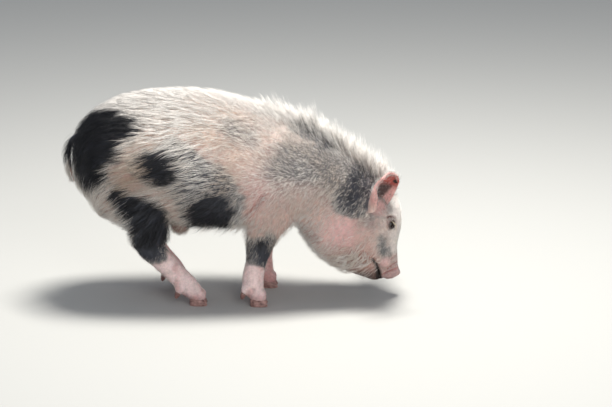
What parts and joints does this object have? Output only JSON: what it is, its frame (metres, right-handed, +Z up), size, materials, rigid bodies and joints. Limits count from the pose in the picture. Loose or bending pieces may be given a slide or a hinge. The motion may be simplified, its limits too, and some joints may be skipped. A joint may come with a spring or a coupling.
{
  "type": "domestic pig",
  "caption": "Still, life-size model of a small spotted domestic pig that stands with its head down to sniff the ground.",
  "frame": {"origin": "on the floor, under the middle of the bounding box", "axes": "+X towards the snout, +Y towards the pig's left side, +Z up"},
  "size_m": [0.65, 0.2796, 0.4186],
  "materials": {
    "coat": "pale bristles over pink skin, with black spots",
    "skin": "bare or thinly haired pink skin",
    "horn": "dull horn",
    "eye": "wet and glossy"
  },
  "bodies": {
    "root": {"torso": "coat", "neck": "coat", "head": "coat", "tail": "coat", "snout": "skin", "ear_right": "skin", "ear_left": "skin", "eye_right": "eye", "eye_left": "eye", "leg_front_right": "skin", "leg_front_left": "skin", "leg_hind_right": "skin", "leg_hind_left": "skin", "hoof_front_right_right_toe": "horn", "hoof_front_right_left_toe": "horn", "hoof_front_left_right_toe": "horn", "hoof_front_left_left_toe": "horn", "hoof_hind_right_right_toe": "horn", "hoof_hind_right_left_toe": "horn", "hoof_hind_left_right_toe": "horn", "hoof_hind_left_left_toe": "horn", "dewclaw_front_right_right_toe": "horn", "dewclaw_front_right_left_toe": "horn", "dewclaw_front_left_right_toe": "horn", "dewclaw_front_left_left_toe": "horn", "dewclaw_hind_right_right_toe": "horn", "dewclaw_hind_right_left_toe": "horn", "dewclaw_hind_left_right_toe": "horn", "dewclaw_hind_left_left_toe": "horn"}
  },
  "joints": []
}
